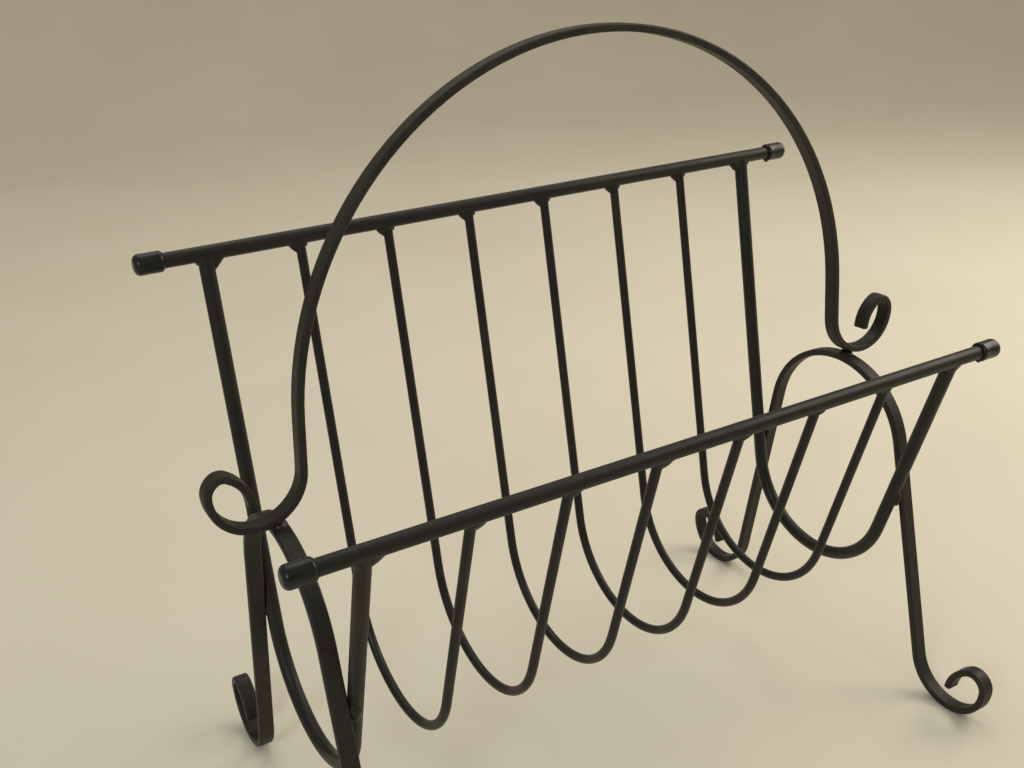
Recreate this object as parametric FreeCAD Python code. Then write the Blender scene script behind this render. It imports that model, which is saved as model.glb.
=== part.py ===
"""Magazine rack of welded steel rod and flat bar, painted black.

Two round rails run along X: a high one at the back (+Y) and a lower one at the front (-Y), each with a
push-on rubber cap at both ends. Bent rods hang between the rails as ribs and form the basket. The ribs
at the two ends are as thick as the rails, and lie against flat-bar arches that stand on scrolled feet.
A flat-bar handle, a tall horseshoe with a scroll at each foot, is welded across the crowns of the arches.

Sizes are millimetres. +Z is up, X runs along the rails, and the origin is on the floor, in the middle.
"""

import FreeCAD, Part
import math
import os

# Rails, which run on past the end ribs by the overhang, and their caps
RAIL_DIAMETER = 8.0
RAIL_OVERHANG = 33.7
BACK_RAIL_Y = 89.7
BACK_RAIL_Z = 313.1
FRONT_RAIL_Y = -88.7
FRONT_RAIL_Z = 225.6
RAIL_CHAMFER = 0.6
CAP_WALL = 1.3
CAP_END = 2.1
CAP_LENGTH = 14.5
CAP_END_ROUNDING = 1.2
CAP_LIP = 0.35
CAP_LIP_WIDTH = 1.5

# Ribs
RIB_COUNT = 8
RIB_PITCH = 50.8
RIB_DIAMETER = 5.2
END_RIB_DIAMETER = 8.0
RIB_BOTTOM_Y = 4.3
RIB_BOTTOM_Z = 63.2
RIB_BOTTOM_RADIUS = 54.7

# Flat bar of the arches and the handle
BAR_WIDTH = 9.0
BAR_THICKNESS = 4.0
BAR_EDGE_ROUNDING = 1.2

# End arches: the crown, the heel where the leg turns out, and the scroll as (radius, degrees) bends
ARCH_HEIGHT = 202.3
ARCH_CROWN_RADIUS = 53.3
ARCH_HEEL_RADIUS = 27.0
ARCH_HEEL_Y = 108.3
ARCH_SCROLL = ((22.9, 90.0), (8.7, 60.0), (7.8, 60.0), (23.8, 52.0))

# Handle: its feet rest this far outside the arches
HANDLE_Y = -4.0
HANDLE_HEIGHT = 414.7
HANDLE_FOOT_OUTSET = 10.5
HANDLE_SIDE_INSET = 1.2
HANDLE_HEEL_RADIUS = 24.9
HANDLE_SCROLL = ((21.3, 90.0), (9.0, 60.0), (5.6, 60.0), (19.8, 58.0))
HANDLE_WELD_GAP = 0.4

# Welds: the bead round a rib's end, its larger fillet on one side, and the lumps at the arches
BEAD_REACH = 1.6
BEAD_EDGE = 0.25
BEAD_SINK = 1.5
BEAD_DROP = 1.8
GUSSET_REACH = 4.2
GUSSET_DROP = 6.0
GUSSET_THICKNESS = 3.2
GUSSET_ROOT = 0.8
LEG_WELD_RADIUS = 5.5
LEG_WELD_DROP = 4.0
LEG_WELD_ROOT_GAP = 1.6
HANDLE_WELD_RADIUS = 6.6

# Which side of each rib carries the larger fillet of weld: +1 towards +X, -1 towards -X
BACK_GUSSET_SIDES = (1, -1, -1, -1, -1, -1, -1, -1)
FRONT_GUSSET_SIDES = (1, 1, 1, 1, 1, 1, -1, 1)

# Lengths closer than this count as equal
TOLERANCE = 0.01

# Worked out from the sizes above
RAIL_RADIUS = RAIL_DIAMETER / 2
END_RIB_X = RIB_PITCH * (RIB_COUNT - 1) / 2
RAIL_LENGTH = 2 * (END_RIB_X + RAIL_OVERHANG)
ARCH_INNER_X = END_RIB_X + END_RIB_DIAMETER / 2
ARCH_X = ARCH_INNER_X + BAR_WIDTH / 2
ARCH_CROWN_Z = ARCH_HEIGHT - BAR_THICKNESS / 2
HANDLE_CROWN_Z = HANDLE_HEIGHT - BAR_THICKNESS / 2
HANDLE_HEEL_X = ARCH_X + HANDLE_FOOT_OUTSET
HANDLE_HEEL_Z = ARCH_CROWN_Z + BAR_THICKNESS + HANDLE_WELD_GAP
HANDLE_CROWN_RADIUS = HANDLE_HEEL_X - HANDLE_SIDE_INSET - HANDLE_HEEL_RADIUS
X_AXIS = FreeCAD.Vector(1, 0, 0)
Y_AXIS = FreeCAD.Vector(0, 1, 0)


class Trail:
    """A centre line in one plane, drawn like a pen stroke: straight runs and tangent bends."""

    def __init__(self, u, v, heading):
        self.pose = (u, v, math.radians(heading))
        self.pieces = []

    def run(self, length):
        u, v, heading = self.pose
        end = (u + length * math.cos(heading), v + length * math.sin(heading), heading)
        self.pieces.append((self.pose, end))
        self.pose = end

    def bend(self, radius, degrees):
        middle = self.turned(radius, degrees / 2)
        end = self.turned(radius, degrees)
        self.pieces.append((self.pose, middle, end))
        self.pose = end

    def turned(self, radius, degrees):
        u, v, heading = self.pose
        reach = math.copysign(radius, degrees)
        centre_u = u - reach * math.sin(heading)
        centre_v = v + reach * math.cos(heading)
        heading += math.radians(degrees)
        return (centre_u + reach * math.sin(heading), centre_v - reach * math.cos(heading), heading)

    def edges(self, place, offset=0.0):
        """Edges of the stroke moved sideways by offset, put in space by place(u, v)."""
        made = []
        for piece in self.pieces:
            points = [place(*moved_sideways(pose, offset)) for pose in piece]
            if len(points) == 2:
                made.append(Part.LineSegment(*points).toShape())
            else:
                made.append(Part.Arc(*points).toShape())
        return made


def moved_sideways(pose, offset):
    u, v, heading = pose
    return (u - offset * math.sin(heading), v + offset * math.cos(heading))


def across_x(x):
    """The upright plane at x, where u is Y and v is Z."""
    return lambda u, v: FreeCAD.Vector(x, u, v)


def across_y(y):
    """The upright plane at y, where u is X and v is Z."""
    return lambda u, v: FreeCAD.Vector(u, y, v)


def mirrored(place):
    return lambda u, v: place(-u, v)


def crown_to_scroll(crown_z, crown_radius, heel_reach, heel_z, heel_radius, scroll):
    """Half a bar's centre line: over the crown, down the side, out at the heel and round the scroll."""
    radii = crown_radius + heel_radius
    rise = radii - (crown_z - heel_z)
    spacing = math.hypot(heel_reach, rise)
    turn = math.degrees(math.asin(radii / spacing) - math.atan2(rise, heel_reach))
    trail = Trail(0, crown_z, 0)
    trail.bend(crown_radius, -turn)
    trail.run(math.sqrt(spacing**2 - radii**2))
    trail.bend(heel_radius, turn)
    for radius, degrees in scroll:
        trail.bend(radius, degrees)
    return trail


def flat_bar(trail, place, across):
    """Flat bar bent along a half stroke and its mirror image, with its width along the vector across."""
    edges = []
    for side in (place, mirrored(place)):
        for offset in (BAR_THICKNESS / 2, -BAR_THICKNESS / 2):
            edges += trail.edges(side, offset)
        tip = [side(*moved_sideways(trail.pose, offset)) for offset in (BAR_THICKNESS / 2, -BAR_THICKNESS / 2)]
        edges.append(Part.LineSegment(*tip).toShape())
    outline = Part.Wire(Part.__sortEdges__(edges))
    bar = Part.Face(outline).extrude(across * BAR_WIDTH)
    bar.translate(across * (-BAR_WIDTH / 2))
    return bar.makeFillet(BAR_EDGE_ROUNDING, [edge for edge in bar.Edges if is_rim(edge, across)])


def is_rim(edge, across):
    """Whether an edge runs along the bar, and not across its thickness or its width."""
    start, end = (vertex.Point for vertex in edge.Vertexes)
    stays_level = abs((end - start).dot(across)) < TOLERANCE
    return stays_level and abs(edge.Length - BAR_THICKNESS) > TOLERANCE


def rod(trail, place, diameter):
    """Round rod along a stroke."""
    path = Part.Wire(trail.edges(place))
    ahead = trail.pieces[0][0][2]
    direction = place(math.cos(ahead), math.sin(ahead)) - place(0, 0)
    rim = Part.Circle(place(*trail.pieces[0][0][:2]), direction, diameter / 2)
    section = Part.Face(Part.Wire(rim.toShape()))
    return path.makePipe(section)


def toward_bottom(rail_y, rail_z):
    """Length and angle from vertical of a rib's straight side, from a rail to its rounded bottom."""
    reach = abs(rail_y - RIB_BOTTOM_Y)
    drop = rail_z - RIB_BOTTOM_Z - RIB_BOTTOM_RADIUS
    distance = math.hypot(reach, drop)
    length = math.sqrt(distance**2 - RIB_BOTTOM_RADIUS**2)
    angle = math.atan2(reach, drop) - math.asin(RIB_BOTTOM_RADIUS / distance)
    return length, math.degrees(angle)


def rib_trail():
    """A rib's centre line, from the back rail's axis round the bottom to the front rail's axis."""
    back_length, back_angle = toward_bottom(BACK_RAIL_Y, BACK_RAIL_Z)
    front_length, front_angle = toward_bottom(FRONT_RAIL_Y, FRONT_RAIL_Z)
    trail = Trail(BACK_RAIL_Y, BACK_RAIL_Z, -90 - back_angle)
    trail.run(back_length)
    trail.bend(RIB_BOTTOM_RADIUS, back_angle + front_angle - 180)
    trail.run(front_length)
    return trail


def rail_core(y, z):
    start = FreeCAD.Vector(-RAIL_LENGTH / 2, y, z)
    return Part.makeCylinder(RAIL_RADIUS, RAIL_LENGTH, start, X_AXIS)


def make_rail(y, z):
    core = rail_core(y, z)
    rims = [edge for edge in core.Edges if edge.BoundBox.XLength < TOLERANCE]
    return core.makeChamfer(RAIL_CHAMFER, rims)


def make_cap(y, z, side):
    """A rubber cap pushed on to a rail's end: side is +1 at the +X end and -1 at the -X end."""
    closed_x = side * (RAIL_LENGTH / 2 + CAP_END)
    inward = X_AXIS * -side
    end = FreeCAD.Vector(closed_x, y, z)
    radius = RAIL_RADIUS + CAP_WALL
    shell = Part.makeCylinder(radius, CAP_LENGTH, end, inward)
    rims = [edge for edge in shell.Edges if abs(edge.BoundBox.Center.x - closed_x) < TOLERANCE]
    shell = shell.makeFillet(CAP_END_ROUNDING, rims)
    mouth = end + inward * (CAP_LENGTH - CAP_LIP_WIDTH)
    lip = Part.makeCylinder(radius + CAP_LIP, CAP_LIP_WIDTH, mouth, inward)
    return shell.fuse(lip).removeSplitter().cut(make_rail(y, z))


def make_rib(index, trail):
    rib = rod(trail, across_x(rib_x(index)), rib_diameter(index))
    for rail in ((BACK_RAIL_Y, BACK_RAIL_Z), (FRONT_RAIL_Y, FRONT_RAIL_Z)):
        rib = rib.cut(rail_core(*rail))
    return largest_solid(rib)


def rib_x(index):
    return RIB_PITCH * index - END_RIB_X


def rib_diameter(index):
    return END_RIB_DIAMETER if index in (0, RIB_COUNT - 1) else RIB_DIAMETER


def largest_solid(shape):
    return max(shape.Solids, key=lambda solid: solid.Volume)


def make_rib_weld(index, rib, rail, down, side):
    """A bead round a rib's end with a larger fillet on one side; down is the unit vector along the rib."""
    rib_radius = rib_diameter(index) / 2
    joint = FreeCAD.Vector(rib_x(index), *rail) + down * RAIL_RADIUS
    sunk = joint - down * BEAD_SINK
    bead = Part.makeCone(rib_radius + BEAD_REACH, rib_radius + BEAD_EDGE, BEAD_SINK + BEAD_DROP, sunk, down)
    inner = joint + X_AXIS * (side * (rib_radius - GUSSET_ROOT))
    outer = joint + X_AXIS * (side * (rib_radius + GUSSET_REACH))
    raised = down * -GUSSET_ROOT
    corners = (inner + raised, outer + raised, inner + down * GUSSET_DROP, inner + raised)
    through = X_AXIS.cross(down) * GUSSET_THICKNESS
    gusset = Part.Face(Part.makePolygon(corners)).extrude(through)
    gusset.translate(through * -0.5)
    return largest_solid(bead.fuse(gusset).cut(rail_core(*rail)).cut(rib))


def crossing(rib_line, leg_line):
    """Y and Z where a rib's centre line passes a leg's, both drawn in the plane x = 0."""
    touch = rib_line.distToShape(leg_line)[1][0][0]
    return touch.y, touch.z


def make_leg_weld(y, z, rib, arch, root):
    """The weld in the fork where the left end rib leaves a leg of its arch. It doesn't reach their root."""
    centre = FreeCAD.Vector(LEG_WELD_RADIUS / 2 - ARCH_INNER_X, y, z - LEG_WELD_DROP)
    lump = Part.makeSphere(LEG_WELD_RADIUS, centre)
    return largest_solid(lump.cut(rib).cut(arch).cut(root))


def make_handle_weld(handle, arch):
    """The weld between the handle's left heel and the crown of the left arch."""
    centre = FreeCAD.Vector(-ARCH_X, HANDLE_Y, ARCH_HEIGHT + HANDLE_WELD_GAP)
    lump = Part.makeSphere(HANDLE_WELD_RADIUS, centre)
    return largest_solid(lump.cut(handle).cut(arch))


def make_nodes():
    """Every piece of the rack by name."""
    nodes = {}
    rails = {"back": (BACK_RAIL_Y, BACK_RAIL_Z), "front": (FRONT_RAIL_Y, FRONT_RAIL_Z)}
    for row, rail in rails.items():
        nodes[f"rail_{row}"] = make_rail(*rail)
        nodes[f"cap_{row}_left"] = make_cap(*rail, -1)
        nodes[f"cap_{row}_right"] = make_cap(*rail, 1)

    line = rib_trail()
    for index in range(RIB_COUNT):
        nodes[f"rib_{index + 1}"] = make_rib(index, line)

    gusset_sides = {"back": BACK_GUSSET_SIDES, "front": FRONT_GUSSET_SIDES}
    for row, rail in rails.items():
        angle = math.radians(toward_bottom(*rail)[1])
        down = FreeCAD.Vector(0, -math.copysign(math.sin(angle), rail[0]), -math.cos(angle))
        for index in range(RIB_COUNT):
            rib = nodes[f"rib_{index + 1}"]
            weld = make_rib_weld(index, rib, rail, down, gusset_sides[row][index])
            nodes[f"weld_rib_{index + 1}_{row}"] = weld

    leg = crown_to_scroll(
        ARCH_CROWN_Z, ARCH_CROWN_RADIUS, ARCH_HEEL_Y, BAR_THICKNESS / 2, ARCH_HEEL_RADIUS, ARCH_SCROLL
    )
    grip = crown_to_scroll(
        HANDLE_CROWN_Z, HANDLE_CROWN_RADIUS, HANDLE_HEEL_X, HANDLE_HEEL_Z, HANDLE_HEEL_RADIUS, HANDLE_SCROLL
    )
    arch = flat_bar(leg, across_x(-ARCH_X), X_AXIS)
    nodes["handle"] = flat_bar(grip, across_y(HANDLE_Y), Y_AXIS)
    left = {"arch": arch, "weld_handle": make_handle_weld(nodes["handle"], arch)}
    root = rod(line, across_x(-ARCH_INNER_X), LEG_WELD_ROOT_GAP)
    rib_line = Part.Wire(line.edges(across_x(0)))
    for row, place in (("back", across_x(0)), ("front", mirrored(across_x(0)))):
        y, z = crossing(rib_line, Part.Wire(leg.edges(place)))
        left[f"weld_arch_{row}"] = make_leg_weld(y, z, nodes["rib_1"], arch, root)
    for name, shape in left.items():
        nodes[f"{name}_left"] = shape
        nodes[f"{name}_right"] = shape.mirror(FreeCAD.Vector(0, 0, 0), X_AXIS)
    return nodes


def main():
    os.makedirs("parts", exist_ok=True)
    for name, shape in make_nodes().items():
        shape.exportStep(f"parts/{name}.step")
        print(name, len(shape.Solids), shape.isValid(), round(shape.Volume, 1))


main()
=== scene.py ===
# %% [markdown]
# # A welded magazine rack
#
# The rack is steel rod and flat bar, bent cold, welded, and sprayed satin black. Two rails carry eight
# bent ribs, two arches stand at the ends on scrolled feet, and a tall handle rises from the arches.
# The steel comes from the CAD model as it is. What a solid model leaves plain is made here: the welds,
# the moulded caps, and every finish. Lengths are metres, Z is up, and X runs along the rails.

import math

import bmesh
import bpy
from mathutils import Matrix, Vector, noise


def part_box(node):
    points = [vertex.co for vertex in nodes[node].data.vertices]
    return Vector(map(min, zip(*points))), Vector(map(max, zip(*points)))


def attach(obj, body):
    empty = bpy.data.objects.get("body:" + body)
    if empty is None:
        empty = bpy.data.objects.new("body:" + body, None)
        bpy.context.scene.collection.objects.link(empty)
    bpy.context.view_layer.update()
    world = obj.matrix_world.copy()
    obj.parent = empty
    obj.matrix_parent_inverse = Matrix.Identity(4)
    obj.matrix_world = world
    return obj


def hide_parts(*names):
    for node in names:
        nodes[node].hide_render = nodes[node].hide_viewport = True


MM = 0.001

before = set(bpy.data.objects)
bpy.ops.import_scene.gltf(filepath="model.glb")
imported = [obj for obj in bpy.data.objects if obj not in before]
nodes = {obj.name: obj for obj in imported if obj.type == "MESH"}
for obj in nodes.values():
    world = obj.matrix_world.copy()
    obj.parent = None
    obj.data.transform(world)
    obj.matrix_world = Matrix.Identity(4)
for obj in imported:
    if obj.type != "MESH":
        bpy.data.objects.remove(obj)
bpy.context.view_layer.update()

# %% [markdown]
# ## The camera
#
# The rack is seen from its front left corner, from a little above the handle. The camera could be aimed
# with a constraint, but three angles are plainer and stay put. A slight lean, under three degrees, tips the
# whole view, as when a camera is held by hand.

# %% Camera
CAMERA_PLACE = Vector((-0.3209, -0.4679, 0.4610))
CAMERA_TURN = (67.68, 2.56, -30.83)
CAMERA_LENS = 39.47

camera_data = bpy.data.cameras.new("camera")
camera_data.lens = CAMERA_LENS
camera = bpy.data.objects.new("camera", camera_data)
camera.location = CAMERA_PLACE
camera.rotation_euler = [math.radians(angle) for angle in CAMERA_TURN]
bpy.context.scene.collection.objects.link(camera)
bpy.context.scene.camera = camera

# %% [markdown]
# ## Helpers for finishes
#
# Every finish here is one Principled shader with a few patterns behind it. Building a node tree by hand is
# wordy, so one helper adds a node, sets its choices and plugs its inputs. A number goes into the socket and
# a socket makes a link. All patterns read Object coordinates, which are metres on these pieces, so a noise
# scale of 500 has features about 2 mm across.

# %% Helpers for node trees
def add_node(tree, kind, inputs=None, **choices):
    """A new node of a tree with its choices set and its inputs filled or linked."""
    node = tree.nodes.new(kind)
    for name, value in choices.items():
        setattr(node, name, value)
    for name, value in (inputs or {}).items():
        if isinstance(value, bpy.types.NodeSocket):
            tree.links.new(value, node.inputs[name])
        else:
            node.inputs[name].default_value = value
    return node


def grain(tree, where, scale, detail=3.0, roughness=0.55):
    """A cloudy pattern from 0 to 1, with about this many features to the metre."""
    inputs = {"Vector": where, "Scale": scale, "Detail": detail, "Roughness": roughness}
    return add_node(tree, "ShaderNodeTexNoise", inputs).outputs["Fac"]


def spread(tree, value, low, high, start=0.3, end=0.7):
    """A pattern stretched so that start to end becomes low to high."""
    inputs = {"Value": value, "From Min": start, "From Max": end, "To Min": low, "To Max": high}
    return add_node(tree, "ShaderNodeMapRange", inputs).outputs["Result"]


def blend_colours(tree, share, first, second):
    """A colour that goes from first to second as share goes from 0 to 1."""
    node = add_node(tree, "ShaderNodeMix", data_type="RGBA")
    for socket, value in zip((node.inputs[6], node.inputs[7]), (first, second)):
        if isinstance(value, bpy.types.NodeSocket):
            tree.links.new(value, socket)
        else:
            socket.default_value = (*value, 1.0)
    tree.links.new(share, node.inputs[0])
    return node.outputs[2]


def raised(tree, height, depth, strength=0.45, below=None):
    """A bump of this depth in metres, laid over the bump below it."""
    inputs = {"Height": height, "Distance": depth, "Strength": strength}
    if below is not None:
        inputs["Normal"] = below
    return add_node(tree, "ShaderNodeBump", inputs).outputs["Normal"]


def start_finish(name):
    """A material, its tree, its shader and its Object coordinates."""
    material = bpy.data.materials.new(name)
    material.use_nodes = True
    tree = material.node_tree
    where = add_node(tree, "ShaderNodeTexCoord").outputs["Object"]
    return material, tree, tree.nodes["Principled BSDF"], where


# %% [markdown]
# ## Satin black on the rods
#
# Drawn rod is smooth, so what shows is the paint: nearly black, a little warm where it is thick, with a
# soft sheen that breaks up over a hand's width. Sprayed enamel also has orange peel, a ripple of about a
# millimetre and a half, and a few specks of dust under it. Orange peel could be real geometry, but it is
# only hundredths of a millimetre deep, so a bump is the right tool.

# %% Rod finish
ROD_BLACK = (0.0062, 0.0062, 0.0066)
ROD_WARM = (0.0150, 0.0122, 0.0100)
ROD_ROUGHNESS = (0.36, 0.52)
ROD_SPECULAR = 0.32
# Features to the metre, from thick and thin paint down to dust
ROD_CLOUDS = 22
ROD_SHEEN_PATCHES = 55
ROD_WAVES = 120
ROD_PEEL = 650
ROD_SPECKS = 1300
WAVE_DEPTH = 0.35 * MM
PEEL_DEPTH = 0.10 * MM
SPECK_DEPTH = 0.12 * MM


def rod_bumps(tree, where):
    """Long waves, orange peel over them, and specks of dust on top."""
    waves = raised(tree, grain(tree, where, ROD_WAVES, detail=2), WAVE_DEPTH, strength=0.35)
    peel = raised(tree, grain(tree, where, ROD_PEEL, detail=2), PEEL_DEPTH, below=waves)
    specks = spread(tree, grain(tree, where, ROD_SPECKS, detail=1), 0, 1, start=0.66, end=0.8)
    return raised(tree, specks, SPECK_DEPTH, strength=0.5, below=peel)


def rod_finish():
    material, tree, shader, where = start_finish("satin_black_rod")
    cloud = grain(tree, where, ROD_CLOUDS, detail=4)
    colour = blend_colours(tree, spread(tree, cloud, 0, 1), ROD_BLACK, ROD_WARM)
    tree.links.new(colour, shader.inputs["Base Color"])
    sheen = grain(tree, where, ROD_SHEEN_PATCHES, detail=5)
    tree.links.new(spread(tree, sheen, *ROD_ROUGHNESS), shader.inputs["Roughness"])
    tree.links.new(rod_bumps(tree, where), shader.inputs["Normal"])
    shader.inputs["Specular IOR Level"].default_value = ROD_SPECULAR
    return material


# %% [markdown]
# ## Hammered black on the flat bar
#
# The arches and the handle are hot-rolled flat bar. Mill scale and light hammering leave shallow dimples a
# few millimetres wide, and the paint over them looks browner and drier than on the rods. Dimples come from
# a smooth cell pattern, warped by a little noise so that no cell is round, with a dusty grain on top.

# %% Flat bar finish
BAR_BLACK = (0.0075, 0.0070, 0.0068)
BAR_BROWN = (0.0230, 0.0182, 0.0138)
BAR_ROUGHNESS = (0.42, 0.6)
BAR_SPECULAR = 0.34
BAR_CLOUDS = 30
BAR_DUST = 900
DUST_DEPTH = 0.12 * MM
DIMPLES = 210
DIMPLE_DEPTH = 0.5 * MM
WARP = 140
WARP_SIZE = 3 * MM


def dimple_cells(tree, where):
    """Smooth cells a few millimetres wide, pushed out of shape by a little noise."""
    warp_inputs = {"Vector": where, "Scale": WARP, "Detail": 2.0}
    warp = add_node(tree, "ShaderNodeTexNoise", warp_inputs).outputs["Color"]
    shifted = add_node(tree, "ShaderNodeVectorMath", {0: warp, "Scale": WARP_SIZE}, operation="SCALE")
    warped = add_node(tree, "ShaderNodeVectorMath", {0: where, 1: shifted.outputs[0]}, operation="ADD")
    cell_inputs = {"Vector": warped.outputs[0], "Scale": DIMPLES, "Smoothness": 0.9}
    return add_node(tree, "ShaderNodeTexVoronoi", cell_inputs, feature="SMOOTH_F1").outputs["Distance"]


def bar_finish():
    material, tree, shader, where = start_finish("hammered_black_bar")
    cloud = grain(tree, where, BAR_CLOUDS, detail=5)
    dust = grain(tree, where, BAR_DUST, detail=3, roughness=0.7)
    mottle_inputs = {0: cloud, 1: spread(tree, dust, 0.5, 1.5)}
    mottle = add_node(tree, "ShaderNodeMath", mottle_inputs, operation="MULTIPLY").outputs[0]
    colour = blend_colours(tree, spread(tree, mottle, 0, 1), BAR_BLACK, BAR_BROWN)
    tree.links.new(colour, shader.inputs["Base Color"])
    tree.links.new(spread(tree, cloud, *BAR_ROUGHNESS), shader.inputs["Roughness"])
    dimples = raised(tree, dimple_cells(tree, where), DIMPLE_DEPTH)
    dusty = raised(tree, dust, DUST_DEPTH, strength=0.5, below=dimples)
    tree.links.new(dusty, shader.inputs["Normal"])
    shader.inputs["Specular IOR Level"].default_value = BAR_SPECULAR
    return material


# %% [markdown]
# ## Painted weld metal
#
# Weld metal freezes in ripples and beads, and paint pools in its hollows. The pieces below have the shape of
# the bead. This finish adds the last tenths of a millimetre of roughness, and a skin a little glossier than
# the bar's, because paint stays wet longer where it is thick.

# %% Weld finish
WELD_BLACK = (0.0060, 0.0058, 0.0060)
WELD_WARM = (0.0150, 0.0122, 0.0100)
WELD_ROUGHNESS = (0.36, 0.54)
WELD_SPECULAR = 0.34
WELD_CLOUDS = 260
WELD_GRAIN = 600
WELD_GRAIN_DEPTH = 0.2 * MM


def weld_finish():
    material, tree, shader, where = start_finish("painted_weld")
    cloud = grain(tree, where, WELD_CLOUDS, detail=4)
    colour = blend_colours(tree, spread(tree, cloud, 0, 1), WELD_BLACK, WELD_WARM)
    tree.links.new(colour, shader.inputs["Base Color"])
    tree.links.new(spread(tree, cloud, *WELD_ROUGHNESS), shader.inputs["Roughness"])
    lumps = raised(tree, grain(tree, where, WELD_GRAIN, detail=3, roughness=0.6), WELD_GRAIN_DEPTH)
    tree.links.new(lumps, shader.inputs["Normal"])
    shader.inputs["Specular IOR Level"].default_value = WELD_SPECULAR
    return material


# %% [markdown]
# ## Moulded caps
#
# The caps are dipped or moulded soft plastic. They are blacker and smoother than the paint, with one clean
# highlight, a very fine grain, and a little dust that dulls them in patches.

# %% Cap finish
CAP_BLACK = (0.0040, 0.0042, 0.0046)
CAP_DUSTY = (0.0110, 0.0105, 0.0100)
CAP_ROUGHNESS = (0.25, 0.40)
CAP_SPECULAR = 0.36
CAP_PATCHES = 160
CAP_GRAIN = 2600
CAP_GRAIN_DEPTH = 0.02 * MM


def cap_finish():
    material, tree, shader, where = start_finish("moulded_cap")
    patches = grain(tree, where, CAP_PATCHES, detail=4, roughness=0.6)
    dusty = spread(tree, patches, 0, 1, start=0.45, end=0.75)
    colour = blend_colours(tree, dusty, CAP_BLACK, CAP_DUSTY)
    tree.links.new(colour, shader.inputs["Base Color"])
    tree.links.new(spread(tree, patches, *CAP_ROUGHNESS), shader.inputs["Roughness"])
    fine = raised(tree, grain(tree, where, CAP_GRAIN, detail=1), CAP_GRAIN_DEPTH, strength=0.4)
    tree.links.new(fine, shader.inputs["Normal"])
    shader.inputs["Specular IOR Level"].default_value = CAP_SPECULAR
    return material


# %% [markdown]
# ## Painting the steel
#
# The rails, ribs, arches and handle keep their CAD meshes, because their shapes are right. They only swap
# the plain material they came with for a finish from above.

# %% Paint the carried-over steel
rod_paint = rod_finish()
bar_paint = bar_finish()
weld_paint = weld_finish()
cap_plastic = cap_finish()

FINISHES = {"rail": rod_paint, "rib": rod_paint, "arch": bar_paint, "handle": bar_paint}


def paint(piece, material):
    piece.data.materials.clear()
    piece.data.materials.append(material)


for name, node in nodes.items():
    kind = name.split("_")[0]
    if kind in FINISHES:
        paint(node, FINISHES[kind])
print("painted:", sum(name.split("_")[0] in FINISHES for name in nodes))

# %% [markdown]
# ## Helpers for new pieces
#
# A new piece is shaped in a bmesh, and its place goes into the mesh, so its object stays at the origin like
# a CAD node's. Most pieces here are turned on a lathe: an outline is spun right round an axis, and the
# doubled points on the axis and at the seam are merged.

# %% Helpers for pieces
LATHE_STEPS = 48
MERGE = 0.001 * MM


def lathe(outline, closed):
    """A solid of revolution about Z from (radius, height) points, as a loop or from pole to pole."""
    shape = bmesh.new()
    points = [shape.verts.new((radius, 0, height)) for radius, height in outline]
    pairs = list(zip(points, points[1:]))
    if closed:
        pairs.append((points[-1], points[0]))
    edges = [shape.edges.new(pair) for pair in pairs]
    bmesh.ops.spin(
        shape, geom=points + edges, cent=(0, 0, 0), axis=(0, 0, 1), angle=math.tau, steps=LATHE_STEPS,
        use_merge=True,
    )
    bmesh.ops.remove_doubles(shape, verts=shape.verts, dist=MERGE)
    bmesh.ops.recalc_face_normals(shape, faces=shape.faces)
    return shape


def finish_piece(name, shape, place, material, replaced):
    """Turns a bmesh into a smooth piece of the rack that stands for one CAD node."""
    bmesh.ops.transform(shape, matrix=place, verts=shape.verts)
    mesh = bpy.data.meshes.new(name)
    shape.to_mesh(mesh)
    shape.free()
    mesh.polygons.foreach_set("use_smooth", [True] * len(mesh.polygons))
    piece = bpy.data.objects.new(name, mesh)
    bpy.context.scene.collection.objects.link(piece)
    paint(piece, material)
    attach(piece, "root")
    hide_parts(replaced)
    return piece


def middle(node):
    low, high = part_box(node)
    return (low + high) / 2


def axes_to(x_axis, z_axis, origin):
    """The matrix that carries a piece made at the origin to a place with these X and Z directions."""
    y_axis = z_axis.cross(x_axis)
    turned = Matrix((x_axis, y_axis, z_axis)).transposed()
    return Matrix.Translation(origin) @ turned.to_4x4()


# %% [markdown]
# ## End caps
#
# Each rail ends in a soft moulded cap like a chair tip: a plain sleeve with a domed end, a hair fatter at
# the closed end, and a low bead near its mouth, which thins to a lip on the rail. One lathe outline holds all
# of that, outside and in, and the sharp rims are rounded afterwards with a bevel, which is easier than
# drawing arcs. On the right-hand caps the mould left a nib under the mouth, which is made by pulling a few
# points of the bead down.

# %% Caps
CAP_STEP = 0.1 * MM
CAP_BEAD_WIDTH = 2.1 * MM
CAP_END_WALL = 2.1 * MM
CAP_DOME = 0.5 * MM
CAP_END_BEVEL = 2.7 * MM
CAP_END_SEGMENTS = 6
CAP_RIM_BEVEL = 0.45 * MM
CAP_RIM_SEGMENTS = 3
CAP_MOUTH_WALL = 0.8 * MM
CAP_WAIST_SHARE = 0.45
NIB_LENGTH = 0.9 * MM
NIB_SPREAD = math.radians(16)


def ring_edges(shape, radius, height):
    """The edges of a lathe ring at this radius and height."""
    def on_ring(vertex):
        return abs(vertex.co.xy.length - radius) < MERGE and abs(vertex.co.z - height) < MERGE

    return [edge for edge in shape.edges if all(on_ring(vertex) for vertex in edge.verts)]


def bevel_ring(shape, radius, height, width, segments):
    bmesh.ops.bevel(
        shape, geom=ring_edges(shape, radius, height), offset=width, segments=segments, profile=0.5,
        affect="EDGES", material=-1,
    )


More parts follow.
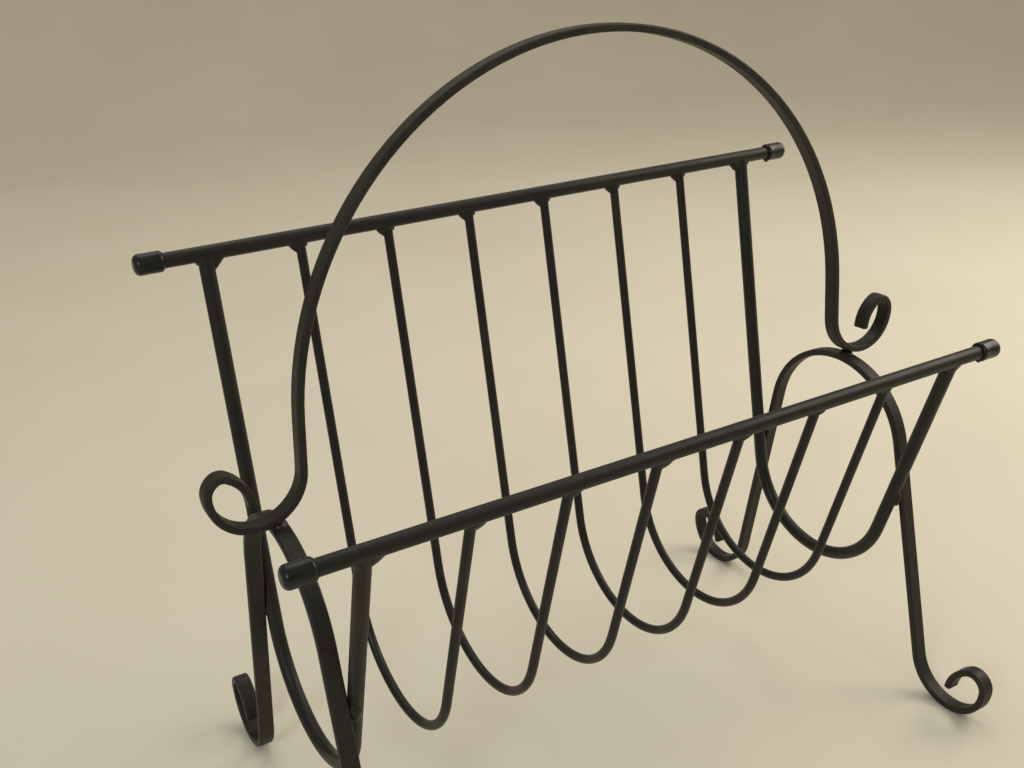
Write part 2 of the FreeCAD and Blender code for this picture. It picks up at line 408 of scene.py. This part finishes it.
def pull_nib(shape, neck, bore):
    """Pulls the outside of a mouth's bead into a small nib on its lower side, which is local +X."""
    for vertex in shape.verts:
        angle = math.atan2(vertex.co.y, vertex.co.x)
        outside = vertex.co.xy.length > bore + CAP_STEP and vertex.co.z > neck
        if outside and abs(angle) < NIB_SPREAD:
            vertex.co.x += NIB_LENGTH * math.cos(angle / NIB_SPREAD * math.pi / 2)


def make_cap(node, rail, side):
    """A cap made with its closed end at the origin and its mouth up Z, then laid along the rail."""
    low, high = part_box(node)
    rail_low, rail_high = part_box(rail)
    length = high.x - low.x
    bead = (high.z - low.z) / 2
    bore = (rail_high.z - rail_low.z) / 2
    body = bead - CAP_STEP
    waist = body - CAP_STEP
    neck = length - CAP_BEAD_WIDTH
    crest = neck + CAP_BEAD_WIDTH / 3
    mouth = bore + CAP_MOUTH_WALL
    outline = [
        (0, 0), (body / 2, CAP_DOME / 4), (body, CAP_DOME), (waist, length * CAP_WAIST_SHARE), (waist, neck),
        (bead, crest), (mouth, length), (bore, length), (bore, CAP_END_WALL), (0, CAP_END_WALL),
    ]
    shape = lathe(outline, closed=False)
    bevel_ring(shape, body, CAP_DOME, CAP_END_BEVEL, CAP_END_SEGMENTS)
    bevel_ring(shape, bead, crest, CAP_RIM_BEVEL, CAP_RIM_SEGMENTS)
    if side > 0:
        pull_nib(shape, neck, bore)
    origin = Vector((high.x if side > 0 else low.x, middle(node).y, middle(node).z))
    place = axes_to(Vector((0, 0, -1)), Vector((-side, 0, 0)), origin)
    return finish_piece(f"{node}_moulded", shape, place, cap_plastic, node)


for row in ("back", "front"):
    for word, side in (("left", -1), ("right", 1)):
        cap = make_cap(f"cap_{row}_{word}", f"rail_{row}", side)
        print(cap.name, len(cap.data.polygons), "faces")

# %% [markdown]
# ## Fillets where the ribs meet the rails
#
# A rib's end is welded to a rail with a small bead all round and one larger fillet on the side that the
# welder could reach. The surface is a saddle: it follows the round rail on one side and the round rib on the
# other. A torus would be a poor copy, so a plain outline is spun round the rib, and each point is then moved
# to where the weld metal lies for its angle: from a leg on the rib, along a hollow curve, to a toe on the
# rail. A little noise makes each weld its own.

# %% Rib fillets
FILLET_STEPS = 9
SIDE_REACH = 0.5 * MM
BEAD_REACH = 1.5 * MM
SIDE_DROP = 1.2 * MM
BEAD_DROP = 1.9 * MM
FILLET_REACH = 6.4 * MM
FILLET_DROP = 6.2 * MM
FILLET_NARROWING = 4
FILLET_HOLLOW = 0.36
FILLET_SWELL = 0.4 * MM
TOE_LIMIT = 0.8
SUNK = 0.25 * MM
ROOT_SHARE = 0.5
ROOT_POINT = (1.5, 1.0)
WELD_LUMPS = 0.2 * MM
WELD_LUMP_SCALE = 330
RIB_END_CLEAR = 20 * MM
RING_SLACK = 0.05 * MM

# How large each rib's fillet is from the first rib to the last: above 0 towards +X, below 0 towards -X
FILLETS = {
    "back": (0.85, -0.6, -0.65, -0.55, -0.65, -0.6, -0.7, -0.85),
    "front": (1.0, 0.85, 0.75, 1.1, 0.8, 0.5, -0.6, 0.5),
}


def side_direction(rib_name, start):
    """The unit vector from a rail's axis down the straight side of a rib, read from where the side ends."""
    foot = middle(rib_name)
    own_side = math.copysign(1, start.y - foot.y)
    offsets = [
        vertex.co - start for vertex in nodes[rib_name].data.vertices if (vertex.co.y - foot.y) * own_side > 0
    ]
    far = [offset for offset in offsets if offset.length > RIB_END_CLEAR]
    nearest = min(offset.length for offset in far)
    ring = [offset for offset in far if offset.length < nearest + RING_SLACK]
    return (sum(ring, Vector()) / len(ring)).normalized()


def fillet_point(step, angle, rib_radius, rail_radius, size):
    """Where a fillet's surface lies: step goes from 0 at the rib's leg to 1 at the rail's toe."""
    lobe = max(0.0, math.cos(angle) * math.copysign(1, size)) ** FILLET_NARROWING * abs(size)
    along = math.cos(angle) ** 2
    bead_reach = SIDE_REACH + (BEAD_REACH - SIDE_REACH) * along
    bead_drop = SIDE_DROP + (BEAD_DROP - SIDE_DROP) * along
    reach = bead_reach + (FILLET_REACH - bead_reach) * lobe
    drop = bead_drop + (FILLET_DROP - bead_drop) * lobe
    toe = rib_radius + reach
    across = abs(math.sin(angle))
    if toe * across > TOE_LIMIT * rail_radius:
        toe = TOE_LIMIT * rail_radius / across
    sag = rail_radius - math.sqrt(rail_radius**2 - (toe * across) ** 2) + SUNK
    corner = (rib_radius + (toe - rib_radius) * FILLET_HOLLOW, -drop * FILLET_HOLLOW)
    leg_share = (1 - step) ** 2
    toe_share = step**2
    corner_share = 1 - leg_share - toe_share
    radius = (rib_radius - SUNK) * leg_share + corner[0] * corner_share + toe * toe_share
    height = -drop * leg_share + corner[1] * corner_share + sag * toe_share
    swell = FILLET_SWELL * math.sin(math.pi * step)
    return radius + swell, height - swell


def fillet_ring(rib_radius, rail_radius, size):
    """A flat ring spun from radius 1 to 2 and closed by a root point, moved out to a fillet's surface."""
    outline = [(1 + step / FILLET_STEPS, 0) for step in range(FILLET_STEPS + 1)] + [ROOT_POINT]
    shape = lathe(outline, closed=True)
    for vertex in shape.verts:
        step = vertex.co.xy.length - 1
        angle = math.atan2(vertex.co.y, vertex.co.x)
        if vertex.co.z > ROOT_POINT[1] / 2:
            radius, height = rib_radius * ROOT_SHARE, 0
        else:
            radius, height = fillet_point(step, angle, rib_radius, rail_radius, size)
        vertex.co = (radius * math.cos(angle), radius * math.sin(angle), height)
    return shape


def make_rib_fillet(rib_name, row, size):
    rail = f"rail_{row}"
    rib_low, rib_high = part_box(rib_name)
    rail_low, rail_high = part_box(rail)
    rib_radius = (rib_high.x - rib_low.x) / 2
    rail_radius = (rail_high.z - rail_low.z) / 2
    start = Vector((middle(rib_name).x, middle(rail).y, middle(rail).z))
    down = side_direction(rib_name, start)
    shape = fillet_ring(rib_radius, rail_radius, size)
    place = axes_to(Vector((1, 0, 0)), -down, start + down * rail_radius)
    roughen(shape, place.translation)
    name = f"fillet_{rib_name}_{row}"
    return finish_piece(name, shape, place, weld_paint, f"weld_{rib_name}_{row}")


def roughen(shape, seed):
    """Moves points in and out along their normals by smooth noise that differs from place to place."""
    bmesh.ops.recalc_face_normals(shape, faces=shape.faces)
    shape.normal_update()
    for vertex in shape.verts:
        lump = noise.noise((vertex.co + seed) * WELD_LUMP_SCALE)
        vertex.co += vertex.normal * (lump * WELD_LUMPS)


for row, sizes in FILLETS.items():
    for index, size in enumerate(sizes):
        make_rib_fillet(f"rib_{index + 1}", row, size)
    print("fillets on the", row, "rail:", len(sizes))

# %% [markdown]
# ## Lumps of weld at the arches
#
# The end ribs lie against the arches, and a lump of weld fills the fork under each crossing. The handle is
# tacked to the crown of each arch the same way. These are blobs with no axis, so each starts as an
# icosphere, which has no poles, is stretched along the joint, and is roughened by two sizes of noise.

# %% Lumps
LUMP_NOISE = ((200, 0.5 * MM), (520, 0.12 * MM))
LEG_LUMP = (3.5 * MM, 4.2 * MM, 6.8 * MM)
CROWN_LUMP = (4.5 * MM, 4.5 * MM, 3.6 * MM)
CROWN_SAG = 0.2 * MM
LUMP_SUBDIVISIONS = 5


def make_lump(node, radii, sag=0.0):
    """A rough blob with its middle this far below the middle of the CAD weld it stands for."""
    shape = bmesh.new()
    bmesh.ops.create_icosphere(shape, subdivisions=LUMP_SUBDIVISIONS, radius=1)
    bmesh.ops.scale(shape, vec=radii, verts=shape.verts)
    centre = middle(node) - Vector((0, 0, sag))
    for scale, height in LUMP_NOISE:
        shape.normal_update()
        for vertex in shape.verts:
            vertex.co += vertex.normal * (noise.noise((vertex.co + centre) * scale) * height)
    place = Matrix.Translation(centre)
    return finish_piece(f"{node}_lump", shape, place, weld_paint, node)


for word in ("left", "right"):
    make_lump(f"weld_handle_{word}", CROWN_LUMP, CROWN_SAG)
    for row in ("back", "front"):
        lump = make_lump(f"weld_arch_{row}_{word}", LEG_LUMP)
        print(lump.name, [round(value / MM, 1) for value in lump.dimensions])

# %% [markdown]
# ## The floor
#
# The rack stands on a plain pale floor. A flat sheet would end in a hard horizon, so the floor is a wide
# dish, like the cove of a light studio: flat under the rack, and swept up out of sight on every side.

# %% Floor
FLOOR_RADIUS = 2.2
COVE_RADIUS = 1.5
COVE_TOP = 0.6
COVE_STEPS = 10
FLOOR_PALE = (0.76, 0.715, 0.61)
FLOOR_SHADE = (0.72, 0.67, 0.56)
FLOOR_CLOUDS = 3
FLOOR_ROUGHNESS = 0.85


def floor_finish():
    material, tree, shader, where = start_finish("pale_floor")
    cloud = grain(tree, where, FLOOR_CLOUDS, detail=6)
    colour = blend_colours(tree, spread(tree, cloud, 0, 1), FLOOR_PALE, FLOOR_SHADE)
    tree.links.new(colour, shader.inputs["Base Color"])
    shader.inputs["Roughness"].default_value = FLOOR_ROUGHNESS
    return material


def make_floor():
    outline = [(0, 0), (FLOOR_RADIUS / 2, 0)]
    for step in range(COVE_STEPS + 1):
        angle = math.pi / 2 * step / COVE_STEPS
        across = FLOOR_RADIUS + COVE_RADIUS * math.sin(angle)
        outline.append((across, COVE_RADIUS * (1 - math.cos(angle))))
    outline.append((outline[-1][0], COVE_RADIUS + COVE_TOP))
    shape = lathe(outline, closed=False)
    mesh = bpy.data.meshes.new("floor")
    shape.to_mesh(mesh)
    shape.free()
    mesh.polygons.foreach_set("use_smooth", [True] * len(mesh.polygons))
    floor = bpy.data.objects.new("floor", mesh)
    bpy.context.scene.collection.objects.link(floor)
    paint(floor, floor_finish())
    print("floor across:", round(floor.dimensions.x, 2), "m")


make_floor()

# %% [markdown]
# ## Light
#
# A large window-like panel on the right makes the long soft highlights along the rods. A small cool panel on
# the left puts one crisp spark on each cap, and a wide one overhead, towards the back, lifts the floor behind
# the rack. The world is a pale cream, because black paint mostly shows what it mirrors. The plain Standard
# view keeps the paint as dark as it is; the default view would lift it to grey.

# %% Lights
WORLD_COLOUR = (1.0, 0.94, 0.80)
WORLD_STRENGTH = 0.44
LIGHT_AIM = Vector((0, 0, 0.18))
# name, place, size, watts, colour
PANELS = (
    ("window", (1.5, -0.2, 1.1), 1.1, 16.0, (1.0, 0.93, 0.78)),
    ("fill", (-1.2, -0.9, 0.95), 0.35, 6.0, (0.74, 0.87, 1.0)),
    ("overhead", (0.3, 0.8, 1.9), 1.4, 8.0, (1.0, 0.97, 0.90)),
)


def add_panel(name, place, size, watts, colour):
    data = bpy.data.lights.new(name, "AREA")
    data.shape = "SQUARE"
    data.size = size
    data.energy = watts
    data.color = colour
    panel = bpy.data.objects.new(name, data)
    panel.location = place
    panel.rotation_euler = (LIGHT_AIM - Vector(place)).to_track_quat("-Z", "Y").to_euler()
    bpy.context.scene.collection.objects.link(panel)


for panel in PANELS:
    add_panel(*panel)

world = bpy.data.worlds.new("cream")
world.use_nodes = True
backdrop = world.node_tree.nodes["Background"]
backdrop.inputs["Color"].default_value = (*WORLD_COLOUR, 1)
backdrop.inputs["Strength"].default_value = WORLD_STRENGTH
bpy.context.scene.world = world
bpy.context.scene.view_settings.view_transform = "Standard"
print("lights:", [panel[0] for panel in PANELS], "world:", WORLD_STRENGTH)
